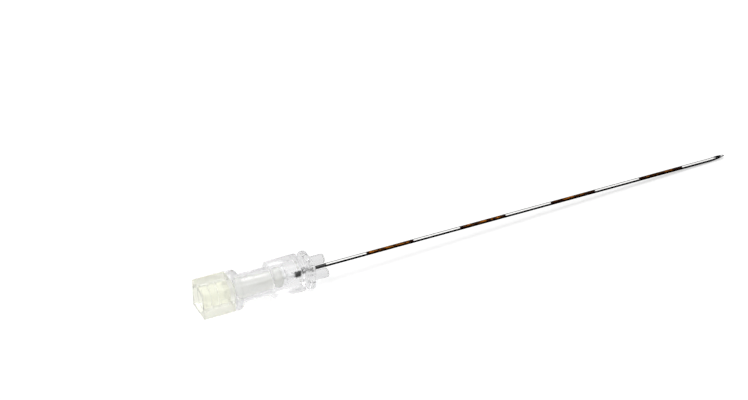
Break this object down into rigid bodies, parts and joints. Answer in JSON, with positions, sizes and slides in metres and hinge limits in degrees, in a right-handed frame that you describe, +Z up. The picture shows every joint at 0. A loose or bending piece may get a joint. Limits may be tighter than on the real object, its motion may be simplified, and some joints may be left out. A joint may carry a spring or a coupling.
{
  "type": "epidural needle",
  "caption": "Epidural needle with a clear tapered hub, a banded steel cannula with a curved bevelled tip, and a stylet that draws out of the hub.",
  "frame": {"origin": "on the surface that the needle lies on, under the middle of its length", "axes": "+X towards the point, +Z up, with the needle's own axis nose-down by 1.9 degrees as it comes to rest"},
  "size_m": [0.1145, 0.0076, 0.0076],
  "materials": {
    "clear_plastic": "clear colourless plastic, polished mould finish",
    "pale_yellow_plastic": "translucent pale yellow-green plastic, smooth mould finish",
    "steel": "drawn stainless steel tube with brown oxide depth bands each 10 mm long",
    "clear_adhesive": "clear cured adhesive",
    "stylet_plastic": "off-white extruded plastic rod"
  },
  "bodies": {
    "needle": {"hub": "clear_plastic", "cannula": "steel", "adhesive": "clear_adhesive"},
    "stylet": {"stylet_cap": "pale_yellow_plastic", "stylet_rod": "stylet_plastic"}
  },
  "joints": [
    {"name": "stylet_slide", "type": "slide", "parent": "needle", "child": "stylet", "axis": [-0.9994, 0, 0.0334], "range_m": [0, 0.108]}
  ]
}
